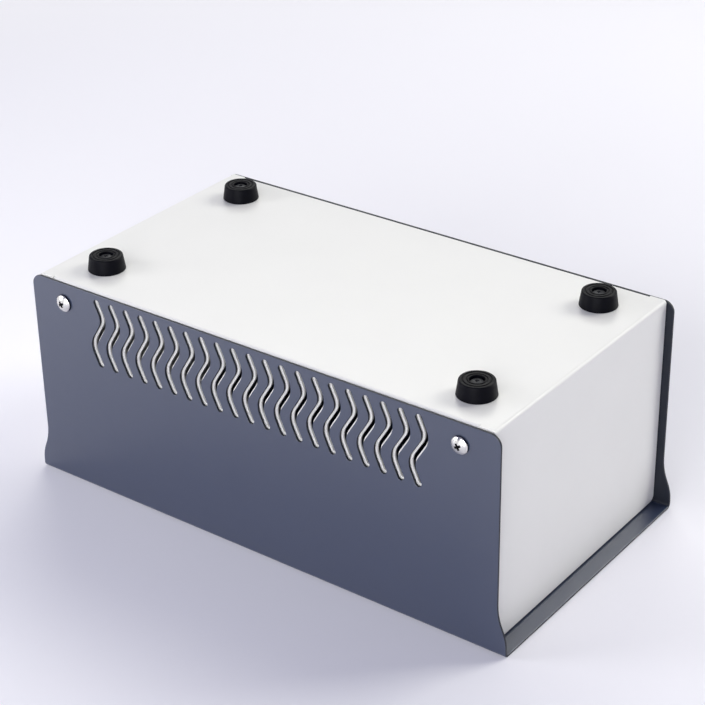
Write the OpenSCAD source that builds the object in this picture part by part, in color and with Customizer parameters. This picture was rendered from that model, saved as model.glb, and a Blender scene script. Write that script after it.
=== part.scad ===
// Metal enclosure box: a white folded base tray with rubber feet, under a blue-grey vented cover.
// It lies turned over, as on a bench: the cover's roof is on the ground at Z = 0 and the feet point up.
// X runs along the box with the front panel at +X, and Y runs across it. Sizes are in millimetres.

/* [Cover] */
// Length of the cover's sides along their straight edges
cover_len = 220; // [170:1:320]
// Width over the cover's two sides
cover_w = 122; // [90:1:200]
// Height from the roof's outer face to the free edges of the sides
cover_h = 91; // [75:0.5:140]
// Thickness of the cover's sheet
cover_t = 1; // [0.8:0.1:2]
// Inside radius of the two folds beside the roof
cover_fold_r = 1; // [0.4:0.1:3]
// Radius of the corners at the free edges of the sides
cover_corner_r = 4.5; // [1:0.5:9]

/* [Flared ends] */
// How far the roof reaches past the straight ends of the sides
flare_out = 4; // [1:0.5:10]
// Height of the S-curve that leads out to the roof's end
flare_h = 18; // [12:0.5:30]
// Height of the straight toe under the S-curve
flare_toe = 3.5; // [0.5:0.5:10]
// Part of the S-curve that is hollow, the rest being round
flare_split = 0.57; // [0.3:0.01:0.7]

/* [Base tray] */
// Thickness of the base tray's sheet
base_t = 1; // [0.8:0.1:2]
// Inside radius of the base tray's folds
base_fold_r = 0.4; // [0.3:0.1:3]
// How far the end panels sit in from the straight ends of the cover's sides
end_recess = 3; // [0:0.1:12]
// Radius of the free corners of the end panels
end_corner_r = 2.5; // [1:0.5:8]
// How far the plate stands above the cover's free edges
plate_rise = 0.5; // [0:0.1:3]
// Strip of flange left beyond the vents
flange_rim = 9.5; // [3:0.5:20]
// Flat strip of plate between an end fold and a corner slit
corner_tab = 5.6; // [0.5:0.1:10]
// Width of the corner slits that free the flanges' folds from the plate
slit_w = 0.2; // [0.2:0.1:2]

/* [Fit] */
// Gap between the cover's sides and the base tray
side_gap = 0.3; // [0.2:0.1:1]
// Gap between the end panels' free edges and the roof
roof_gap = 0.7; // [0.2:0.1:1.5]
// Radial clearance of the screws in the sheets
hole_clearance = 0.25; // [0.1:0.05:0.6]
// Radial clearance between threads and pressed fits, drawn plain
thread_clearance = 0.05; // [0.03:0.01:0.1]

/* [Vents] */
// Spacing of the wave vents along each side
vent_pitch = 7.6; // [6:0.1:12]
// Least distance from a cover screw's axis to the nearest wave's middle
vent_margin = 17; // [14:0.5:40]
// Distance from the cover's free edges to the waves' upper ends
vent_edge = 2.3; // [2:0.1:12]
// Width of the waves in the cover
vent_w = 2.9; // [1.5:0.1:4]
// Width of the waves in the base flange behind them
vent_inner_w = 1.4; // [0.8:0.1:3]
// Length of a wave's straight middle
vent_mid_len = 6.5; // [2:0.5:12]
// Length of a wave's straight legs
vent_leg_len = 5; // [1:0.5:12]
// Centre-line radius of a wave's bends
vent_bend_r = 6.5; // [4:0.5:10]
// Lean of a wave's middle from upright
vent_mid_angle = 32; // [10:1:45]
// Lean of a wave's legs from upright
vent_leg_angle = 24.5; // [5:0.5:45]

/* [Cover screws] */
// Distance from a flange's end to the screw's axis
screw_inset_x = 6.3; // [4.5:0.1:20]
// Distance from the cover's free edges to the screw's axis
screw_inset_z = 8.6; // [8.5:0.1:20]
// Thread diameter
screw_d = 4; // [3:0.5:5]
// Head diameter
screw_head_d = 7.2; // [6.5:0.1:10]
// Head height
screw_head_h = 2.1; // [2:0.1:4]
// Height of the head's dome above its upright rim
screw_dome = 1.4; // [0.6:0.1:1.8]
// Thread that stands past the clinch nut
screw_tail = 2.6; // [0.5:0.1:8]
// Body height of the clinch nuts
clinch_h = 2.5; // [1.5:0.1:5]
// Wall of the clinch nuts' collars, pressed into the flange
clinch_wall = 0.9; // [0.5:0.1:2]
// How far the clinch nuts' bodies stand out round their collars
clinch_shoulder = 1.1; // [0.6:0.1:2]

/* [Feet] */
// Distance from an end panel's face to a foot's axis
foot_inset_x = 19.45; // [12:0.05:40]
// Distance from a flange's outer face to a foot's axis
foot_inset_y = 17.9; // [12:0.1:30]
// Diameter on the plate
foot_base_d = 15.1; // [12.5:0.1:22]
// Diameter at the standing face
foot_top_d = 13.5; // [12.5:0.1:22]
// Height
foot_h = 6.1; // [5:0.1:12]
// Radius of the standing face's rim
foot_rim_r = 0.6; // [0.2:0.1:1]
// Gap round the screw's head in its recess
foot_recess_gap = 0.2; // [0.1:0.05:0.4]
// How far the screw's head lies below the standing face
foot_screw_sink = 0.6; // [0.2:0.1:2]
// Radius of the inner ring groove in the standing face
foot_inner_groove_r = 3.7; // [3.3:0.1:4.3]
// Radius of the outer ring groove in the standing face
foot_outer_groove_r = 5.2; // [4.5:0.1:5.5]
// Width of the ring grooves
foot_groove_w = 0.7; // [0.2:0.1:0.9]

/* [Foot screws] */
// Thread diameter
foot_screw_d = 3; // [2:0.5:3.5]
// Head diameter
foot_screw_head_d = 5.3; // [4.6:0.1:5.4]
// Head height
foot_screw_head_h = 1.9; // [1.2:0.1:2.2]
// Height of the head's dome above its upright rim
foot_screw_dome = 0.4; // [0.2:0.1:1]
// Thread that stands past the nut
foot_screw_tail = 1.5; // [0.5:0.1:8]
// Width across the flats of the nuts
foot_nut_flats = 5.5; // [5:0.1:9]
// Height of the nuts
foot_nut_h = 2.4; // [1.5:0.1:4]

/* [Hidden] */
$fn = 96;

sheet_white = "#f1f1ee";
sheet_blue_grey = "#5c6275";
rubber_black = "#1c1c20";
nickel = "#d9d9dc";
zinc = "#b8bcc0";
black_steel = "#2a2a2e";

// How far a cutting shape runs past what it cuts, or an added shape runs into what carries it
overrun = 1;

// Cover
roof_len = cover_len + 2 * flare_out;
cover_bend_r = cover_fold_r + cover_t;
flare_angle = 2 * atan(flare_out / flare_h);
flare_r_sum = flare_h / sin(flare_angle);
flare_hollow_r = flare_split * flare_r_sum;
flare_round_r = flare_r_sum - flare_hollow_r;
flare_round_h = flare_round_r * sin(flare_angle);

// Base tray
base_w = cover_w - 2 * cover_t - 2 * side_gap;
base_len = cover_len - 2 * end_recess;
base_bend_r = base_fold_r + base_t;
plate_z = cover_h + plate_rise;
plate_in_z = plate_z - base_t;
end_free_z = cover_t + roof_gap;
flange_len = base_len - 2 * (base_bend_r + corner_tab + slit_w);
flange_in_y = base_w / 2 - base_t;
slit_depth = base_bend_r + slit_w;

// Vents: a wave is a straight middle, two bends and two straight legs with round ends
vent_bend_start = vent_mid_len / 2 * [sin(vent_mid_angle), cos(vent_mid_angle)];
vent_bend_centre = vent_bend_start + vent_bend_r * [-cos(vent_mid_angle), sin(vent_mid_angle)];
vent_leg_start = vent_bend_centre + vent_bend_r * [cos(vent_leg_angle), sin(vent_leg_angle)];
vent_leg_end = vent_leg_start + vent_leg_len * [-sin(vent_leg_angle), cos(vent_leg_angle)];
vent_half_h = vent_leg_end[1] + vent_w / 2;
vent_z = cover_h - vent_edge - vent_half_h;
flange_free_z = vent_z - vent_half_h - flange_rim;
// Straight steps along each bend and each round end of a wave
vent_bend_steps = 6;
vent_end_steps = 8;

// Fasteners
screw_x = flange_len / 2 - screw_inset_x;
screw_z = cover_h - screw_inset_z;
screw_len = cover_t + side_gap + base_t + clinch_h + screw_tail;
clinch_collar_d = screw_d + 2 * clinch_wall;
clinch_d = clinch_collar_d + 2 * clinch_shoulder;
vent_count = 1 + floor(2 * (screw_x - vent_margin) / vent_pitch);
foot_x = base_len / 2 - foot_inset_x;
foot_y = base_w / 2 - foot_inset_y;
foot_recess_d = foot_screw_head_d + 2 * foot_recess_gap;
foot_recess_depth = foot_screw_head_h + foot_screw_sink;
foot_web_h = foot_h - foot_recess_depth;
foot_screw_len = foot_web_h + base_t + foot_nut_h + foot_screw_tail;

// Cross recess of a screw, as shares of its head
recess_span = 0.6;
recess_slot = 0.16;
recess_depth = 0.62;

// Round-bottomed channel outline, standing on the origin
module channel_outline(w, h, r) {
    translate([-w / 2, r]) square([w, h - r]);
    translate([-w / 2 + r, 0]) square([w - 2 * r, h]);
    for (side = [-1, 1]) translate([side * (w / 2 - r), r]) circle(r);
}

// Section of a sheet folded to a channel
module channel_section(w, h, t, r) {
    difference() {
        channel_outline(w, h, r);
        translate([0, t]) channel_outline(w - 2 * t, h, r - t);
    }
}

// What a rounded corner loses, for a corner at the origin that points to +X and +Y
module corner_waste(r) {
    difference() {
        translate([-r, -r]) square(r + overrun);
        translate([-r, -r]) circle(r);
    }
}

// Draws a flat shape on the XZ plane and pulls it to both sides, across the box
module across(w) rotate([90, 0, 0]) linear_extrude(w, center = true) children();

// Draws a flat shape on the YZ plane and pulls it to both ends, along the box
module along(length) rotate([90, 0, 90]) linear_extrude(length, center = true) children();

// Repeats a piece at both ends and both sides
module at_four_corners() {
    for (end = [0, 1], side = [0, 1]) mirror([end, 0, 0]) mirror([0, side, 0]) children();
}

// Part of the S-curved end that stands out past a side's straight end
module flare() {
    foot_w = flare_out + overrun;
    translate([cover_len / 2 - overrun, 0]) {
        square([foot_w, flare_toe]);
        intersection() {
            translate([0, flare_toe]) square([foot_w, flare_round_h]);
            translate([foot_w - flare_round_r, flare_toe]) circle(flare_round_r);
        }
        difference() {
            translate([0, flare_toe + flare_round_h]) square([foot_w, flare_h - flare_round_h]);
            translate([overrun + flare_hollow_r, flare_toe + flare_h]) circle(flare_hollow_r);
        }
    }
}

// Side of the cover, seen square on
module side_outline() {
    difference() {
        union() {
            translate([-cover_len / 2, 0]) square([cover_len, cover_h]);
            for (end = [0, 1]) mirror([end, 0]) flare();
        }
        for (end = [0, 1]) mirror([end, 0]) translate([cover_len / 2, cover_h]) corner_waste(cover_corner_r);
    }
}

// Points along an arc
function arc(centre, r, from, to, steps) =
    [for (i = [0 : steps]) let (a = from + (to - from) * i / steps) centre + r * [cos(a), sin(a)]];

// Outline of a wave's upper half: up its outer side, round its end and down its inner side
function half_wave(w) = concat(
    arc(vent_bend_centre, vent_bend_r + w / 2, -vent_mid_angle, vent_leg_angle, vent_bend_steps),
    arc(vent_leg_end, w / 2, vent_leg_angle, vent_leg_angle + 180, vent_end_steps),
    arc(vent_bend_centre, vent_bend_r - w / 2, vent_leg_angle, -vent_mid_angle, vent_bend_steps));

// Whole wave: its lower half is its upper half turned round
module wave(w) {
    upper = half_wave(w);
    polygon(concat(upper, -upper));
}

// Cuts the row of waves through both sides at once
module vent_cuts(w) {
    across(cover_w + 2 * overrun)
        for (i = [0 : vent_count - 1])
            translate([(i - (vent_count - 1) / 2) * vent_pitch, vent_z]) wave(w);
}

// Cuts the cover screws' holes through both sides at once
module screw_cuts(d) {
    for (end = [-1, 1]) translate([end * screw_x, 0, screw_z]) rotate([90, 0, 0])
        cylinder(d = d, h = cover_w + 2 * overrun, center = true);
}

module cover() {
    color(sheet_blue_grey) difference() {
        intersection() {
            along(roof_len) channel_section(cover_w, cover_h, cover_t, cover_bend_r);
            across(cover_w + 2 * overrun) side_outline();
        }
        vent_cuts(vent_w);
        screw_cuts(screw_d + 2 * hole_clearance);
    }
}

// Plate and end panels, with room left for the flanges' folds and their slits
module end_folds() {
    difference() {
        translate([0, 0, plate_z]) mirror([0, 0, 1])
            across(base_w) channel_section(base_len, plate_z - end_free_z, base_t, base_bend_r);
        for (side = [-1, 1])
            translate([0, side * (base_w / 2 - slit_depth + (slit_depth + overrun) / 2), plate_z])
                cube([flange_len + 2 * slit_w, slit_depth + overrun, 2 * (base_t + overrun)], center = true);
        for (side = [0, 1]) mirror([0, side, 0])
            along(base_len + 2 * overrun) translate([base_w / 2, end_free_z])
                mirror([0, 1]) corner_waste(end_corner_r);
    }
}

// Plate and side flanges between the slits
module flange_folds() {
    translate([0, 0, plate_z]) mirror([0, 0, 1])
        along(flange_len) channel_section(base_w, plate_z - flange_free_z, base_t, base_bend_r);
}

module base_tray() {
    color(sheet_white) difference() {
        union() {
            end_folds();
            flange_folds();
        }
        vent_cuts(vent_inner_w);
        screw_cuts(clinch_collar_d + 2 * thread_clearance);
        at_four_corners() translate([foot_x, foot_y, plate_z - base_t - overrun])
            cylinder(d = foot_screw_d + 2 * hole_clearance, h = base_t + 2 * overrun);
    }
}

// Rubber foot standing on the origin, with a stepped bore and two ring grooves
module foot() {
    top_r = foot_top_d / 2;
    bore_r = foot_screw_d / 2 + hole_clearance;
    color(rubber_black) rotate_extrude() difference() {
        union() {
            polygon([[bore_r, 0], [foot_base_d / 2, 0], [top_r, foot_h - foot_rim_r],
                     [top_r - foot_rim_r, foot_h], [bore_r, foot_h]]);
            translate([top_r - foot_rim_r, foot_h - foot_rim_r]) circle(foot_rim_r);
        }
        translate([0, foot_web_h]) square([foot_recess_d / 2, foot_recess_depth + overrun]);
        for (r = [foot_inner_groove_r, foot_outer_groove_r]) translate([r, foot_h]) circle(d = foot_groove_w);
    }
}

module foot_at(end, side) translate([end * foot_x, side * foot_y, plate_z]) foot();

module foot_front_left() foot_at(1, -1);
module foot_front_right() foot_at(1, 1);
module foot_rear_left() foot_at(-1, -1);
module foot_rear_right() foot_at(-1, 1);

// Pan-head screw with a cross recess: the head stands on the origin and the shank hangs below it
module pan_screw(d, head_d, head_h, dome, length) {
    dome_r = (pow(head_d / 2, 2) + pow(dome, 2)) / (2 * dome);
    difference() {
        rotate_extrude() intersection() {
            square([head_d / 2, head_h]);
            translate([0, head_h - dome_r]) circle(dome_r);
        }
        translate([0, 0, head_h * (1 - recess_depth)]) intersection() {
            cylinder(d1 = head_d * recess_slot, d2 = head_d * recess_span, h = head_h * recess_depth);
            for (turn = [0, 90]) rotate(turn)
                translate([-head_d / 2, -head_d * recess_slot / 2, 0])
                    cube([head_d, head_d * recess_slot, head_h]);
        }
    }
    translate([0, 0, -length]) cylinder(d = d, h = length);
}

module cover_screws() {
    color(nickel) at_four_corners() translate([screw_x, -cover_w / 2, screw_z]) rotate([90, 0, 0])
        pan_screw(screw_d, screw_head_d, screw_head_h, screw_dome, screw_len);
}

// Threaded bushes pressed into the flanges from inside: a body on the sheet and a collar in its hole
module clinch_nuts() {
    color(zinc) at_four_corners() translate([screw_x, -flange_in_y, screw_z]) rotate([-90, 0, 0])
        difference() {
            union() {
                cylinder(d = clinch_d, h = clinch_h);
                translate([0, 0, -base_t]) cylinder(d = clinch_collar_d, h = base_t + overrun);
            }
            translate([0, 0, -base_t - overrun])
                cylinder(d = screw_d + 2 * thread_clearance, h = base_t + clinch_h + 2 * overrun);
        }
}

module foot_screws() {
    color(black_steel) at_four_corners() translate([foot_x, foot_y, plate_z + foot_web_h])
        pan_screw(foot_screw_d, foot_screw_head_d, foot_screw_head_h, foot_screw_dome, foot_screw_len);
}

module foot_nuts() {
    across_corners = foot_nut_flats / cos(30);
    color(zinc) at_four_corners() translate([foot_x, foot_y, plate_in_z - foot_nut_h]) difference() {
        cylinder(d = across_corners, h = foot_nut_h, $fn = 6);
        translate([0, 0, -overrun])
            cylinder(d = foot_screw_d + 2 * thread_clearance, h = foot_nut_h + 2 * overrun);
    }
}

base_tray();
cover();
foot_front_left();
foot_front_right();
foot_rear_left();
foot_rear_right();
cover_screws();
clinch_nuts();
foot_screws();
foot_nuts();
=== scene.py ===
"""Looks of a folded sheet-metal enclosure that lies on its roof: painted sheets, rubber feet and screws."""
import math

import bpy
from bpy.props import FloatProperty, FloatVectorProperty, IntProperty, PointerProperty
from mathutils import Matrix, Vector


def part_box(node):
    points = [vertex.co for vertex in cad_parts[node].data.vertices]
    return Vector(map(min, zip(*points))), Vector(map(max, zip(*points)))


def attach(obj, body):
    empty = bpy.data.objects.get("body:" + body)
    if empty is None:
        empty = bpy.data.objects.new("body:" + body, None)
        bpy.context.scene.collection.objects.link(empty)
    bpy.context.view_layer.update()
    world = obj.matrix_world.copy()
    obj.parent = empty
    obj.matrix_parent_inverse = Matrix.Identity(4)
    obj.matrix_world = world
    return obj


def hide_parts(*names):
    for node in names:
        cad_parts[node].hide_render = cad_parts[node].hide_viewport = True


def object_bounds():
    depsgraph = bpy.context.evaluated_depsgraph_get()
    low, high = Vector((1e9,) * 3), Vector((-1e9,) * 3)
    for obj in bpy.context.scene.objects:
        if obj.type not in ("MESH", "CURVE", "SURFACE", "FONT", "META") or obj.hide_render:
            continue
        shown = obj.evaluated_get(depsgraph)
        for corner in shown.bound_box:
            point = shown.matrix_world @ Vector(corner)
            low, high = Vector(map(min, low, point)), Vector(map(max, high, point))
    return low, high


bl_info = {
    "name": "Metal enclosure box",
    "version": (1, 0, 0),
    "blender": (4, 5, 0),
    "location": "View3D > Sidebar > Enclosure",
    "description": "Finishes the sheets, feet and fasteners of a folded enclosure and sets up its studio",
    "category": "Object",
}

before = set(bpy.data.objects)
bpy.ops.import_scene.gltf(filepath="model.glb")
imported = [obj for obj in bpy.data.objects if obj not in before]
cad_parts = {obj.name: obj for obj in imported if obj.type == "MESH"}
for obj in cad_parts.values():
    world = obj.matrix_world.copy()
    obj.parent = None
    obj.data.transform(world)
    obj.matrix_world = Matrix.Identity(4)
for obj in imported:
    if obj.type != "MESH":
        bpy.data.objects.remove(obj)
CAD_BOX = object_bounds()

MM = 0.001
# Corners of the box as seen from its front panel: sign along X, sign along Y
CORNERS = {"front_left": (1, -1), "front_right": (1, 1), "rear_left": (-1, -1), "rear_right": (-1, 1)}

# Points of a mesh that lie closer than this become one
MERGE_DISTANCE = 0.002 * MM
# Faces that meet at less than this become one
FLAT_ANGLE = math.radians(0.2)
# Edges that turn by more than this are rounded
SHARP_ANGLE = math.radians(50)
# Sides of a turned screw and of the round floor
SCREW_SEGMENTS, FLOOR_SEGMENTS = 64, 96
# Rings of the mesh for each turn of a thread
RINGS_PER_PITCH = 8
# Depth of a metric thread, as a share of its pitch
THREAD_DEPTH = 0.61
# Plain neck between a screw's head and its thread, in turns of the thread
NECK_TURNS = 0.5
# Width of the softened edges of a screw
SCREW_EDGE = 0.06 * MM
# Wing of a cross recess at its bottom, as shares of its span, width and depth
WING_TAPER = (0.3, 0.7, 1)
# Range of the noise over which a finish's colour and gloss drift
NOISE_LOW, NOISE_HIGH = 0.3, 0.7


# Settings that a user would change

def length(name, description, millimetres):
    """A length, given in millimetres and kept in metres."""
    return FloatProperty(name=name, description=description, default=millimetres * MM, min=0,
                         precision=5, subtype="DISTANCE", unit="LENGTH")


def angle(name, description, degrees):
    """An angle, given in degrees and kept in radians."""
    return FloatProperty(name=name, description=description, default=math.radians(degrees),
                         subtype="ANGLE", unit="ROTATION")


def colour(name, description, red, green, blue):
    """A colour in linear light."""
    return FloatVectorProperty(name=name, description=description, default=(red, green, blue), size=3,
                               min=0, max=1, subtype="COLOR")


class SheetSizes(bpy.types.PropertyGroup):
    """Edges of the two painted sheets and of the nuts"""
    paint_edge: length("Paint edge", "Width over which the paint rounds a sheet's cut edge", 0.16)
    # Height above the roof's outer face from which the cover's cut edges and inner sides take the darker
    # paint of painted shade
    painted_shade_from: length("Thin coat from", "Height where the cover's thin coat starts", 1.1)
    nut_edge: length("Nut edge", "Width of the softened edges of the nuts", 0.2)


class FootSizes(bpy.types.PropertyGroup):
    """Section of a rubber foot; its base and height come from the frame"""
    top: length("Top", "Diameter at the standing face", 13.5)
    rim: length("Rim", "Radius of the standing face's rim", 0.6)
    skirt: length("Skirt", "Radius of the edge that lies on the plate", 0.25)
    inner_groove: length("Inner groove", "Radius of the inner ring groove", 3.7)
    outer_groove: length("Outer groove", "Radius of the outer ring groove", 5.2)
    groove: length("Groove width", "Width of the ring grooves", 0.7)
    recess: length("Recess", "Diameter of the recess for the screw's head", 5.7)
    recess_depth: length("Recess depth", "Depth of the recess for the screw's head", 2.5)
    lip: length("Lip", "Radius of the recess's upper edge", 0.2)
    bore: length("Bore", "Diameter of the screw's hole", 3.5)
    segments: IntProperty(name="Segments", description="Sides of the turned shape", default=96, min=24)


class CoverScrewSizes(bpy.types.PropertyGroup):
    """Bright pan-head screws of the cover; their places come from the frame"""
    head: length("Head", "Diameter of the head", 7.2)
    head_height: length("Head height", "Height of the head", 2.06)
    rim: length("Rim", "Height of the head's upright rim", 0.7)
    thread: length("Thread", "Diameter over the thread", 4)
    pitch: length("Pitch", "Distance between two turns of the thread", 0.7)
    shank: length("Shank", "Length under the head", 7.4)
    cross: length("Cross", "Span of the cross recess on the dome", 4.6)
    slot: length("Slot", "Width of the cross recess's wings", 1.15)
    cross_depth: length("Cross depth", "Depth of the cross recess", 1.5)
    turn: angle("Turn", "Turn of the cross recess in its hole", 28)


class FootScrewSizes(bpy.types.PropertyGroup):
    """Dark pan-head screws of the feet; their places come from the frame"""
    head: length("Head", "Diameter of the head", 5.3)
    head_height: length("Head height", "Height of the head", 1.9)
    rim: length("Rim", "Height of the head's upright rim", 1.5)
    thread: length("Thread", "Diameter over the thread", 3)
    pitch: length("Pitch", "Distance between two turns of the thread", 0.5)
    shank: length("Shank", "Length under the head", 8.5)
    cross: length("Cross", "Span of the cross recess on the dome", 3.0)
    slot: length("Slot", "Width of the cross recess's wings", 0.75)
    cross_depth: length("Cross depth", "Depth of the cross recess", 1.2)
    turn: angle("Turn", "Turn of the cross recess in its hole", 14)


class Finishes(bpy.types.PropertyGroup):
    """Colours of the paints, the rubber and the metals"""
    white: colour("White paint", "Semi-gloss powder coat of the base tray", 0.81, 0.805, 0.78)
    blue_grey: colour("Blue-grey paint", "Satin powder coat of the cover", 0.019, 0.030, 0.067)
    # A darker paint on the cover's cut edges and inner sides, as painted shade
    painted_shade_coat: colour("Thin coat", "Thin paint on the cover's cut edges and inner sides", 0.013, 0.016, 0.025)
    rubber: colour("Rubber", "Moulded black rubber of the feet", 0.0016, 0.0017, 0.0042)
    nickel: colour("Nickel", "Bright plating of the cover screws", 0.74, 0.73, 0.71)
    # Recess: a dark metal put on the screw heads' rims and in their cross recesses as painted shade
    recess: colour("Recess", "Dull plating of the screws' rims and cross recesses", 0.02, 0.02, 0.024)
    zinc: colour("Zinc", "Plating of the nuts", 0.62, 0.64, 0.66)
    black_steel: colour("Black steel", "Blackened steel of the foot screws", 0.012, 0.013, 0.018)


class StageSettings(bpy.types.PropertyGroup):
    """Camera, lamps and floor of the studio"""
    eye: FloatVectorProperty(name="Camera place", description="Where the camera stands", size=3,
                             default=(0.41290, -0.54517, 0.43337), subtype="TRANSLATION", unit="LENGTH")
    azimuth: angle("Azimuth", "Direction of the camera round the box", 37.0075)
    elevation: angle("Elevation", "Height of the camera above the horizon", 28.4926)
    roll: angle("Roll", "Lean of the camera about its own axis", -0.9734)
    lens: FloatProperty(name="Lens", description="Focal length on a 36 mm frame", default=100.685, min=1,
                        unit="CAMERA")
    floor: colour("Floor", "Pale floor and backdrop", 0.9, 0.89, 0.935)
    lit_radius: length("Lit floor", "Radius of the floor that shows its own light and shade", 500)
    backdrop_radius: length("Backdrop", "Radius from which the floor shows as an even backdrop", 850)
    warm: colour("Warm light", "Tint of the lamps behind the box", 1.0, 1.0, 0.9)
    plain: colour("Plain light", "Tint of the lamps above and before the box", 1.0, 1.0, 1.0)
    room: colour("Room light", "Tint of the even light of the room, which fills the shadows", 0.33, 0.36, 1.0)
    light_level: FloatProperty(name="Light level", description="Strength of all the lamps together",
                               default=1, min=0)
    room_level: FloatProperty(name="Room level", description="Strength of the even light of the room",
                              default=0.15, min=0, max=1, subtype="FACTOR")


# Modelling

def start_piece():
    """Leaves what was being edited and deselects all, so that an operator acts on the new piece alone."""
    if bpy.context.mode != "OBJECT":
        bpy.ops.object.mode_set(mode="OBJECT")
    bpy.ops.object.select_all(action="DESELECT")


def take(piece):
    """Makes a piece the only one that operators act on."""
    start_piece()
    bpy.context.view_layer.objects.active = piece
    piece.select_set(True)


def linked(name, data):
    """A new object of a mesh, a lamp or a camera, in the scene."""
    piece = bpy.data.objects.new(name, data)
    bpy.context.scene.collection.objects.link(piece)
    return piece


def arc(radius, height, bend, start, end, steps):
    """Points of a section along an arc round a centre at (radius, height), by angles in degrees."""
    turns = [math.radians(start + (end - start) * i / steps) for i in range(steps + 1)]
    return [(radius + bend * math.cos(t), height + bend * math.sin(t)) for t in turns]


def turned(name, section, segments, solid):
    """Turns a section of (radius, height) points round Z: a circle is extruded ring by ring.

    A solid one is closed by its end faces. Any other is closed if its section comes back to its start."""
    start_piece()
    radius, height = section[0]
    bpy.ops.mesh.primitive_circle_add(vertices=segments, radius=radius,
                                      fill_type="NGON" if solid else "NOTHING", enter_editmode=True)
    piece = bpy.context.object
    piece.name = piece.data.name = name
    bpy.ops.transform.translate(value=(0, 0, height))
    for next_radius, next_height in section[1:]:
        bpy.ops.mesh.extrude_region_move(TRANSFORM_OT_translate={"value": (0, 0, next_height - height)})
        growth = next_radius / radius
        bpy.ops.transform.resize(value=(growth, growth, 1), center_override=(0, 0, next_height))
        radius, height = next_radius, next_height
    bpy.ops.mesh.select_all(action="SELECT")
    bpy.ops.mesh.remove_doubles(threshold=MERGE_DISTANCE)
    bpy.ops.mesh.normals_make_consistent(inside=False)
    bpy.ops.object.mode_set(mode="OBJECT")
    return piece


def applied(piece, kind, **settings):
    """Adds a modifier to a piece and applies it."""
    take(piece)
    modifier = piece.modifiers.new(kind.lower(), kind)
    for setting, value in settings.items():
        setattr(modifier, setting, value)
    bpy.ops.object.modifier_apply(modifier=modifier.name)


def softened_copy(node, name, width):
    """Copies a CAD solid, joins its loose triangles into whole faces and rounds its sharp edges.

    The large faces then set the shading."""
    piece = linked(name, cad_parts[node].data.copy())
    piece.data.name = name
    take(piece)
    bpy.ops.object.mode_set(mode="EDIT")
    bpy.ops.mesh.select_all(action="SELECT")
    bpy.ops.mesh.customdata_custom_splitnormals_clear()
    bpy.ops.mesh.remove_doubles(threshold=MERGE_DISTANCE)
    bpy.ops.mesh.dissolve_limited(angle_limit=FLAT_ANGLE)
    bpy.ops.object.mode_set(mode="OBJECT")
    applied(piece, "BEVEL", width=width, segments=2, limit_method="ANGLE", angle_limit=SHARP_ANGLE,
            use_clamp_overlap=False, loop_slide=False)
    bpy.ops.object.shade_smooth()
    applied(piece, "WEIGHTED_NORMAL", mode="FACE_AREA", weight=80, keep_sharp=True)
    return piece


def placed_copy(master, name, place):
    """Copies a piece with its own mesh, and puts its place into that mesh."""
    piece = linked(name, master.data.copy())
    piece.data.name = name
    piece.matrix_world = place
    take(piece)
    bpy.ops.object.transform_apply(location=True, rotation=True, scale=True)
    return piece


def coat(piece, *materials):
    """Gives a piece its materials; the first one is all over it until faces are given another."""
    piece.data.materials.clear()
    for material in materials:
        piece.data.materials.append(material)


def hand_over(piece, node):
    """Lets a finished piece stand for its CAD node."""
    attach(piece, "root")
    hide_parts(node)


def foot_ends(corner):
    """Middles of a foot's base and of its standing face, from the frame."""
    low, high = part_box("foot_" + corner)
    middle = (low + high) / 2
    return Vector((middle.x, middle.y, low.z)), Vector((middle.x, middle.y, high.z))


def foot_section(sizes, base_radius, height):
    """Section of a foot: along its base, up its taper, over its rim and grooves, down its stepped bore."""
    rim_centre = sizes.top / 2 - sizes.rim
    taper = math.degrees(math.atan2(base_radius - sizes.top / 2, height - sizes.rim))
    recess, bore, web = sizes.recess / 2, sizes.bore / 2, height - sizes.recess_depth
    section = [(bore, 0)]
    section += arc(base_radius - sizes.skirt, sizes.skirt, sizes.skirt, -90, taper, 5)
    section += arc(rim_centre, height - sizes.rim, sizes.rim, taper, 90, 7)
    for groove in (sizes.outer_groove, sizes.inner_groove):
        section += arc(groove, height, sizes.groove / 2, 0, -180, 8)
    section += arc(recess + sizes.lip, height - sizes.lip, sizes.lip, 90, 180, 4)
    section += [(recess, web), (bore, web), (bore, 0)]
    return section


def dome_radius(sizes):
    """Radius of the ball that a pan head's dome is a cap of."""
    rise, radius = sizes.head_height - sizes.rim, sizes.head / 2
    return (radius ** 2 + rise ** 2) / (2 * rise)


def head_section(sizes):
    """Section of a pan head from its bearing face up: an upright rim, a rounded shoulder and a dome.

    The dome stops just short of its top, where a small end face closes it."""
    edge, radius, dome = 0.12 * MM, sizes.head / 2, dome_radius(sizes)
    dome_centre = sizes.head_height - dome
    shoulder = 0.2 * radius
    shoulder_height = dome_centre + math.sqrt((dome - shoulder) ** 2 - (radius - shoulder) ** 2)
    shoulder_end = math.degrees(math.atan2(shoulder_height - dome_centre, radius - shoulder))
    section = [(radius - edge, 0), (radius, edge)]
    section += arc(radius - shoulder, shoulder_height, shoulder, 0, shoulder_end, 7)
    section += arc(0, dome_centre, dome, shoulder_end, 89, 9)[1:]
    return section


def cut_thread(piece, sizes):
    """Presses a helical groove into the rings of a screw's shank, fading out under the head."""
    crest, depth = sizes.thread / 2, THREAD_DEPTH * sizes.pitch
    for vertex in piece.data.vertices:
        on_neck = vertex.co.z > -NECK_TURNS * sizes.pitch
        if on_neck or vertex.co.xy.length < 0.9 * crest:
            continue
        turn = math.atan2(vertex.co.y, vertex.co.x) / math.tau
        groove = 0.5 - 0.5 * math.cos(math.tau * (vertex.co.z / sizes.pitch - turn))
        fade = min(1, -vertex.co.z / sizes.pitch - NECK_TURNS)
        vertex.co.xy *= 1 - fade * groove * depth / crest


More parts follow.
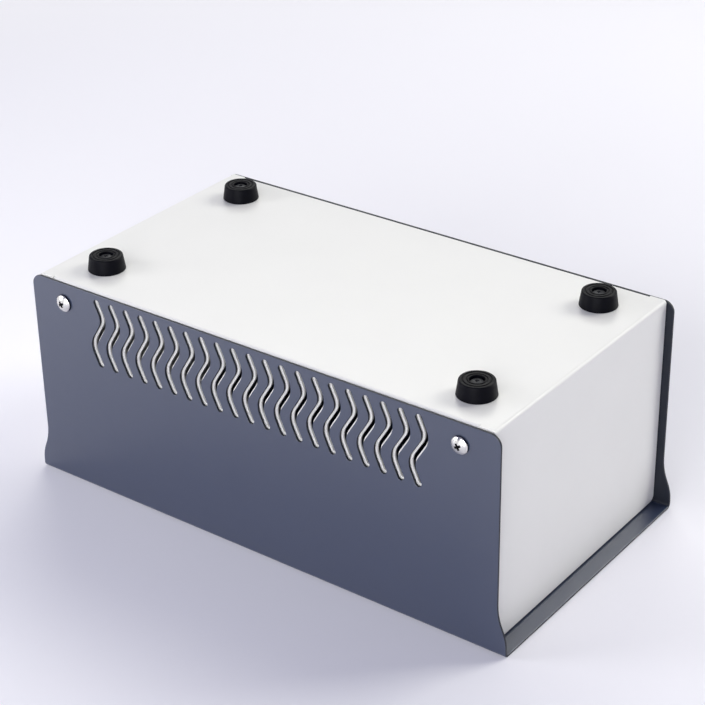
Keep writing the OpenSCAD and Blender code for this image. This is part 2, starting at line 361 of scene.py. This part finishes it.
def cut_cross(piece, sizes):
    """Cuts a cross recess into a screw's head with two tapered wings."""
    for turn in (0, math.pi / 2):
        start_piece()
        bpy.ops.mesh.primitive_cube_add(size=1, enter_editmode=True)
        bpy.ops.transform.resize(value=(sizes.cross, sizes.slot, 2 * sizes.cross_depth))
        bpy.ops.mesh.select_all(action="DESELECT")
        wing = bpy.context.object
        bpy.ops.object.mode_set(mode="OBJECT")
        for face in wing.data.polygons:
            face.select = face.normal.z < -0.5
        bpy.ops.object.mode_set(mode="EDIT")
        bpy.ops.transform.resize(value=WING_TAPER, center_override=(0, 0, 0))
        bpy.ops.mesh.select_all(action="SELECT")
        bpy.ops.transform.translate(value=(0, 0, sizes.head_height))
        bpy.ops.object.mode_set(mode="OBJECT")
        wing.rotation_euler.z = turn
        bpy.ops.object.transform_apply(rotation=True)
        applied(piece, "BOOLEAN", operation="DIFFERENCE", solver="EXACT", object=wing)
        bpy.data.objects.remove(wing)


def shade_recess(piece, sizes):
    """Gives the second, darker material to the head's upright rim and to the cross recess, under the dome:
    painted shade on the rim and in the recess.
    """
    dome, below_skin, upright = dome_radius(sizes), 0.08 * MM, 0.4
    for face in piece.data.polygons:
        off_axis = face.center.xy.length
        if face.center.z > 0 and off_axis < sizes.cross / 2:
            skin = sizes.head_height - dome + math.sqrt(dome ** 2 - off_axis ** 2)
            face.material_index = int(face.center.z < skin - below_skin)
        elif face.center.z > 0 and abs(face.normal.z) < upright:
            face.material_index = 1


def pan_screw(name, sizes, metal, recess_shade_metal):
    """Models one pan-head screw: its head stands on the origin and its threaded shank hangs below it."""
    radius, tip = sizes.thread / 2, 0.5 * sizes.pitch
    ring_step = sizes.pitch / RINGS_PER_PITCH
    rings = int((sizes.shank - tip) / ring_step)
    section = [(radius - 0.7 * tip - 0.2 * MM, -sizes.shank), (radius - 0.2 * tip, -sizes.shank + tip)]
    section += [(radius, -sizes.shank + tip + (i + 1) * ring_step) for i in range(rings - 1)]
    section += [(radius, 0)] + head_section(sizes)
    piece = turned(name, section, SCREW_SEGMENTS, solid=True)
    cut_thread(piece, sizes)
    cut_cross(piece, sizes)
    applied(piece, "BEVEL", width=SCREW_EDGE, segments=2, limit_method="ANGLE", angle_limit=SHARP_ANGLE)
    bpy.ops.object.shade_smooth_by_angle(angle=math.radians(35))
    # The second material is painted shade on the head's rim and in its cross recess
    coat(piece, metal, recess_shade_metal)
    shade_recess(piece, sizes)
    return piece


def paint_shade_on_edges(piece, lowest):
    """Gives the second, darker material to the cover above a height, but for the outer skin of its sides:
    painted shade on its cut edges and inner sides.
    """
    outer_skin = 0.7
    for face in piece.data.polygons:
        outward = face.normal.y * math.copysign(1, face.center.y)
        face.material_index = int(face.center.z > lowest and outward < outer_skin)


# Finishes

# Each finish keeps its roughness on one side of 0.27, below which the render's noise filter treats a
# surface as a mirror. A finish that drifts across it shows flakes.

def new_finish(name, metallic=0, specular=0.5, ior=1.5):
    """A material with its shader's even values set, its node tree and its shader."""
    material = bpy.data.materials.new(name)
    material.use_nodes = True
    tree = material.node_tree
    shader = tree.nodes["Principled BSDF"]
    shader.inputs["Metallic"].default_value = metallic
    shader.inputs["Specular IOR Level"].default_value = specular
    shader.inputs["IOR"].default_value = ior
    return material, tree, shader


def grain(tree, scale, detail):
    """Noise in the object's own space; the scale is its waves to a metre."""
    place = tree.nodes.new("ShaderNodeTexCoord")
    noise = tree.nodes.new("ShaderNodeTexNoise")
    noise.inputs["Scale"].default_value = scale
    noise.inputs["Detail"].default_value = detail
    tree.links.new(place.outputs["Object"], noise.inputs["Vector"])
    return noise.outputs["Fac"]


def spread_colour(tree, factor, socket, base, spread):
    """Lets a colour drift by a share to both sides of its base."""
    ramp = tree.nodes.new("ShaderNodeValToRGB")
    stops = ramp.color_ramp.elements
    for stop, position, way in zip(stops, (NOISE_LOW, NOISE_HIGH), (1 - spread, 1 + spread)):
        stop.position = position
        stop.color = (*(min(1, part * way) for part in base), 1)
    tree.links.new(factor, ramp.inputs["Fac"])
    tree.links.new(ramp.outputs["Color"], socket)


def spread_value(tree, factor, socket, low, high):
    """Lets a value drift between two limits."""
    limits = tree.nodes.new("ShaderNodeMapRange")
    limits.inputs["From Min"].default_value, limits.inputs["From Max"].default_value = NOISE_LOW, NOISE_HIGH
    limits.inputs["To Min"].default_value, limits.inputs["To Max"].default_value = low, high
    tree.links.new(factor, limits.inputs["Value"])
    tree.links.new(limits.outputs["Result"], socket)


def emboss(tree, factor, socket, height, strength):
    """Raises a bump of a height in millimetres from a pattern."""
    bump = tree.nodes.new("ShaderNodeBump")
    bump.inputs["Distance"].default_value = height * MM
    bump.inputs["Strength"].default_value = strength
    tree.links.new(factor, bump.inputs["Height"])
    tree.links.new(bump.outputs["Normal"], socket)


def powder_coat(name, base, ior, roughness, peel_scale):
    """Baked powder paint: faint clouds in its colour and gloss, and an orange-peel skin."""
    material, tree, shader = new_finish(name, ior=ior)
    spread_colour(tree, grain(tree, 45, 3), shader.inputs["Base Color"], base, spread=0.006)
    spread_value(tree, grain(tree, 160, 2), shader.inputs["Roughness"], roughness - 0.03, roughness + 0.03)
    emboss(tree, grain(tree, peel_scale, 2), shader.inputs["Normal"], height=0.02, strength=0.5)
    return material


def moulded_rubber(base):
    """Matt black rubber with a fine moulded tooth."""
    material, tree, shader = new_finish("moulded_rubber", specular=0.09)
    spread_colour(tree, grain(tree, 600, 4), shader.inputs["Base Color"], base, spread=0.25)
    spread_value(tree, grain(tree, 900, 3), shader.inputs["Roughness"], 0.36, 0.5)
    emboss(tree, grain(tree, 4500, 3), shader.inputs["Normal"], height=0.03, strength=0.6)
    return material


def plated_metal(name, base, low, high):
    """Plated metal with a faint uneven polish; its roughness drifts from low to high."""
    material, tree, shader = new_finish(name, metallic=1)
    spread_colour(tree, grain(tree, 800, 3), shader.inputs["Base Color"], base, spread=0.04)
    spread_value(tree, grain(tree, 2200, 4), shader.inputs["Roughness"], low, high)
    emboss(tree, grain(tree, 3500, 3), shader.inputs["Normal"], height=0.004, strength=0.4)
    return material


def blackened_steel(base):
    """Dull dark steel with a patchy oxide skin."""
    material, tree, shader = new_finish("blackened_steel", metallic=0.6)
    spread_colour(tree, grain(tree, 1200, 4), shader.inputs["Base Color"], base, spread=0.3)
    spread_value(tree, grain(tree, 1800, 3), shader.inputs["Roughness"], 0.38, 0.52)
    emboss(tree, grain(tree, 6000, 3), shader.inputs["Normal"], height=0.006, strength=0.5)
    return material


def studio_floor(base, lit_radius, backdrop_radius):
    """Matt paper floor; past the lit middle, the eye and gloss see it as an even pale backdrop."""
    material, tree, shader = new_finish("studio_floor", specular=0)
    spread_colour(tree, grain(tree, 3, 2), shader.inputs["Base Color"], base, spread=0.004)
    shader.inputs["Roughness"].default_value = 0.8
    nodes, link = tree.nodes, tree.links.new

    place = nodes.new("ShaderNodeTexCoord")
    reach = nodes.new("ShaderNodeVectorMath")
    reach.operation = "LENGTH"
    link(place.outputs["Object"], reach.inputs[0])
    blend = nodes.new("ShaderNodeMapRange")
    blend.interpolation_type = "SMOOTHSTEP"
    blend.inputs["From Min"].default_value = lit_radius
    blend.inputs["From Max"].default_value = backdrop_radius
    link(reach.outputs["Value"], blend.inputs["Value"])

    ray = nodes.new("ShaderNodeLightPath")
    seen = nodes.new("ShaderNodeMath")
    seen.operation = "MAXIMUM"
    link(ray.outputs["Is Camera Ray"], seen.inputs[0])
    link(ray.outputs["Is Glossy Ray"], seen.inputs[1])
    amount = nodes.new("ShaderNodeMath")
    amount.operation = "MULTIPLY"
    link(seen.outputs["Value"], amount.inputs[0])
    link(blend.outputs["Result"], amount.inputs[1])

    backdrop = nodes.new("ShaderNodeEmission")
    backdrop.inputs["Color"].default_value = (*base, 1)
    mix = nodes.new("ShaderNodeMixShader")
    link(amount.outputs["Value"], mix.inputs["Fac"])
    link(shader.outputs["BSDF"], mix.inputs[1])
    link(backdrop.outputs["Emission"], mix.inputs[2])
    link(mix.outputs["Shader"], nodes["Material Output"].inputs["Surface"])
    return material


# Stage

# Round floor that bends up into a wall: its radius, the bend's radius and the wall's height, in metres
FLOOR_RADIUS, FLOOR_BEND, WALL_HEIGHT = 4.5, 0.9, 1.5
# Soft square lamps: place, size, power in watts, tint
LAMPS = {
    "top_lamp": ((0, 0.2, 2.2), 2.5, 6.0, "plain"),
    "back_lamp": ((0, 1.3, 1.6), 1.2, 5.5, "warm"),
    "back_right_lamp": ((0.8, 1.2, 1.0), 0.8, 16.0, "warm"),
    "back_left_lamp": ((-0.9, 1.2, 1.4), 1.0, 12.0, "warm"),
    "front_lamp": ((0.36, -1.4, 0.45), 1.1, 17.2, "plain"),
    "near_left_lamp": ((-0.5, -0.45, 0.3), 0.3, 1.8, "plain"),
}


def floor_section():
    """Section of the floor: down its wall, round the bend and in to a ring and a pinhole under the box."""
    bend = arc(FLOOR_RADIUS - FLOOR_BEND, FLOOR_BEND, FLOOR_BEND, 0, -90, 12)
    return [(FLOOR_RADIUS, WALL_HEIGHT)] + bend + [(0.5, 0), (0.001, 0)]


def soft_lamp(name, place, size, power, tint):
    """A square soft lamp that looks at the middle of the box."""
    lamp = bpy.data.lights.new(name, "AREA")
    lamp.shape, lamp.size, lamp.energy, lamp.color = "SQUARE", size, power, tint
    stand = linked(name, lamp)
    stand.location = place
    aim = (CAD_BOX[0] + CAD_BOX[1]) / 2
    stand.rotation_euler = (aim - Vector(place)).to_track_quat("-Z", "Y").to_euler()


def set_room_light(settings):
    """Fills the shadows with an even light from all sides."""
    world = bpy.data.worlds.new("room_light")
    world.use_nodes = True
    background = world.node_tree.nodes["Background"]
    background.inputs["Color"].default_value = (*settings.room, 1)
    background.inputs["Strength"].default_value = settings.room_level
    bpy.context.scene.world = world


def set_camera(settings):
    """Puts the camera in its place, turned by its azimuth, elevation and roll."""
    a, e = settings.azimuth, settings.elevation
    back = Vector((math.sin(a) * math.cos(e), -math.cos(a) * math.cos(e), math.sin(e)))
    right = Vector((math.cos(a), math.sin(a), 0))
    axes = Matrix((right, back.cross(right), back)).transposed()
    data = bpy.data.cameras.new("camera")
    data.lens, data.sensor_width, data.clip_start = settings.lens, 36, 0.01
    camera = linked("camera", data)
    turn = axes @ Matrix.Rotation(settings.roll, 3, "Z")
    camera.matrix_world = Matrix.Translation(settings.eye) @ turn.to_4x4()
    bpy.context.scene.camera = camera


# Operators

class ENCLOSURE_OT_cover(bpy.types.Operator):
    """Finish the folded cover in satin blue-grey paint"""
    bl_idname = "enclosure.cover"
    bl_label = "Cover"

    def execute(self, context):
        sizes, finishes = context.scene.enclosure_sheets, context.scene.enclosure_finishes
        piece = softened_copy("cover", "painted_cover", sizes.paint_edge)
        paint = powder_coat("blue_grey_powder_coat", finishes.blue_grey,
                            ior=1.95, roughness=0.34, peel_scale=900)
        # A darker, duller paint for painted shade on the cover's cut edges and inner sides
        painted_shade = powder_coat("thin_powder_coat", finishes.painted_shade_coat,
                           ior=1.4, roughness=0.5, peel_scale=900)
        coat(piece, paint, painted_shade)
        paint_shade_on_edges(piece, sizes.painted_shade_from)
        hand_over(piece, "cover")
        return {"FINISHED"}


class ENCLOSURE_OT_base_tray(bpy.types.Operator):
    """Finish the folded base tray in semi-gloss white paint"""
    bl_idname = "enclosure.base_tray"
    bl_label = "Base tray"

    def execute(self, context):
        sizes, finishes = context.scene.enclosure_sheets, context.scene.enclosure_finishes
        piece = softened_copy("base_tray", "painted_base_tray", sizes.paint_edge)
        paint = powder_coat("white_powder_coat", finishes.white,
                            ior=1.5, roughness=0.31, peel_scale=700)
        coat(piece, paint)
        hand_over(piece, "base_tray")
        return {"FINISHED"}


class ENCLOSURE_OT_feet(bpy.types.Operator):
    """Turn one rubber foot and set a copy of it at each corner of the plate"""
    bl_idname = "enclosure.feet"
    bl_label = "Feet"

    def execute(self, context):
        sizes = context.scene.enclosure_feet
        low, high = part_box("foot_front_left")
        section = foot_section(sizes, (high.x - low.x) / 2, high.z - low.z)
        master = turned("foot_master", section, sizes.segments, solid=False)
        bpy.ops.object.shade_smooth_by_angle(angle=math.radians(32))
        coat(master, moulded_rubber(context.scene.enclosure_finishes.rubber))
        for corner in CORNERS:
            base, _ = foot_ends(corner)
            piece = placed_copy(master, "rubber_foot_" + corner, Matrix.Translation(base))
            hand_over(piece, "foot_" + corner)
        bpy.data.objects.remove(master)
        return {"FINISHED"}


class ENCLOSURE_OT_cover_screws(bpy.types.Operator):
    """Model one bright screw and set a copy of it in each hole of the cover"""
    bl_idname = "enclosure.cover_screws"
    bl_label = "Cover screws"

    def execute(self, context):
        sizes, finishes = context.scene.enclosure_cover_screws, context.scene.enclosure_finishes
        nickel = plated_metal("bright_nickel", finishes.nickel, 0.2, 0.26)
        # Dark metal for painted shade on the heads' rims and in their cross recesses
        recess = plated_metal("nickel_recess", finishes.recess, 0.4, 0.55)
        master = pan_screw("cover_screw_master", sizes, nickel, recess)
        low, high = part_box("cover_screws")
        reach_x, reach_y = high.x - sizes.head / 2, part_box("cover")[1].y
        tightened = Matrix.Rotation(sizes.turn, 4, "Z")
        for corner, (end, side) in CORNERS.items():
            place = Matrix.Translation((end * reach_x, side * reach_y, (low.z + high.z) / 2))
            outward = Matrix.Rotation(-side * math.pi / 2, 4, "X")
            piece = placed_copy(master, "cover_screw_" + corner, place @ outward @ tightened)
            hand_over(piece, "cover_screws")
        bpy.data.objects.remove(master)
        return {"FINISHED"}


class ENCLOSURE_OT_foot_screws(bpy.types.Operator):
    """Model one dark screw and set a copy of it in each foot's recess"""
    bl_idname = "enclosure.foot_screws"
    bl_label = "Foot screws"

    def execute(self, context):
        sizes = context.scene.enclosure_foot_screws
        steel = blackened_steel(context.scene.enclosure_finishes.black_steel)
        master = pan_screw("foot_screw_master", sizes, steel, steel)
        sunk = Vector((0, 0, context.scene.enclosure_feet.recess_depth))
        tightened = Matrix.Rotation(sizes.turn, 4, "Z")
        for corner in CORNERS:
            _, standing_face = foot_ends(corner)
            place = Matrix.Translation(standing_face - sunk)
            piece = placed_copy(master, "foot_screw_" + corner, place @ tightened)
            hand_over(piece, "foot_screws")
        bpy.data.objects.remove(master)
        return {"FINISHED"}


class ENCLOSURE_OT_nuts(bpy.types.Operator):
    """Finish the clinch nuts and the foot nuts inside the case in zinc"""
    bl_idname = "enclosure.nuts"
    bl_label = "Nuts"

    def execute(self, context):
        zinc = plated_metal("zinc_plate", context.scene.enclosure_finishes.zinc, 0.28, 0.42)
        for node in ("clinch_nuts", "foot_nuts"):
            piece = softened_copy(node, "zinc_" + node, context.scene.enclosure_sheets.nut_edge)
            coat(piece, zinc)
            hand_over(piece, node)
        return {"FINISHED"}


class ENCLOSURE_OT_stage(bpy.types.Operator):
    """Lay the pale floor with its round backdrop, and set the lamps, the room's light and the camera"""
    bl_idname = "enclosure.stage"
    bl_label = "Stage"

    def execute(self, context):
        settings = context.scene.enclosure_stage
        floor = turned("studio_floor", floor_section(), FLOOR_SEGMENTS, solid=False)
        bpy.ops.object.shade_smooth()
        coat(floor, studio_floor(settings.floor, settings.lit_radius, settings.backdrop_radius))
        for name, (place, size, power, tint) in LAMPS.items():
            soft_lamp(name, place, size, power * settings.light_level, getattr(settings, tint))
        set_room_light(settings)
        set_camera(settings)
        context.scene.view_settings.view_transform = "Standard"
        return {"FINISHED"}


# Panel and registration

class ENCLOSURE_PT_panel(bpy.types.Panel):
    """Lists the pieces of the enclosure and the stage"""
    bl_idname = "ENCLOSURE_PT_panel"
    bl_label = "Enclosure"
    bl_space_type = "VIEW_3D"
    bl_region_type = "UI"
    bl_category = "Enclosure"

    def draw(self, context):
        for operator in OPERATORS:
            self.layout.operator(operator.bl_idname)


OPERATORS = (ENCLOSURE_OT_cover, ENCLOSURE_OT_base_tray, ENCLOSURE_OT_feet, ENCLOSURE_OT_cover_screws,
             ENCLOSURE_OT_foot_screws, ENCLOSURE_OT_nuts, ENCLOSURE_OT_stage)
SETTINGS = {
    "enclosure_sheets": SheetSizes,
    "enclosure_feet": FootSizes,
    "enclosure_cover_screws": CoverScrewSizes,
    "enclosure_foot_screws": FootScrewSizes,
    "enclosure_finishes": Finishes,
    "enclosure_stage": StageSettings,
}


def register():
    """Adds the settings, the operators and the panel to Blender."""
    for cls in (*SETTINGS.values(), *OPERATORS, ENCLOSURE_PT_panel):
        bpy.utils.register_class(cls)
    for name, group in SETTINGS.items():
        setattr(bpy.types.Scene, name, PointerProperty(type=group))


def unregister():
    """Takes them out again, in the opposite order."""
    for name in SETTINGS:
        delattr(bpy.types.Scene, name)
    for cls in (ENCLOSURE_PT_panel, *reversed(OPERATORS), *reversed(SETTINGS.values())):
        bpy.utils.unregister_class(cls)


def main():
    register()
    bpy.ops.enclosure.cover()
    bpy.ops.enclosure.base_tray()
    bpy.ops.enclosure.feet()
    bpy.ops.enclosure.cover_screws()
    bpy.ops.enclosure.foot_screws()
    bpy.ops.enclosure.nuts()
    bpy.ops.enclosure.stage()


if __name__ == "__main__":
    main()
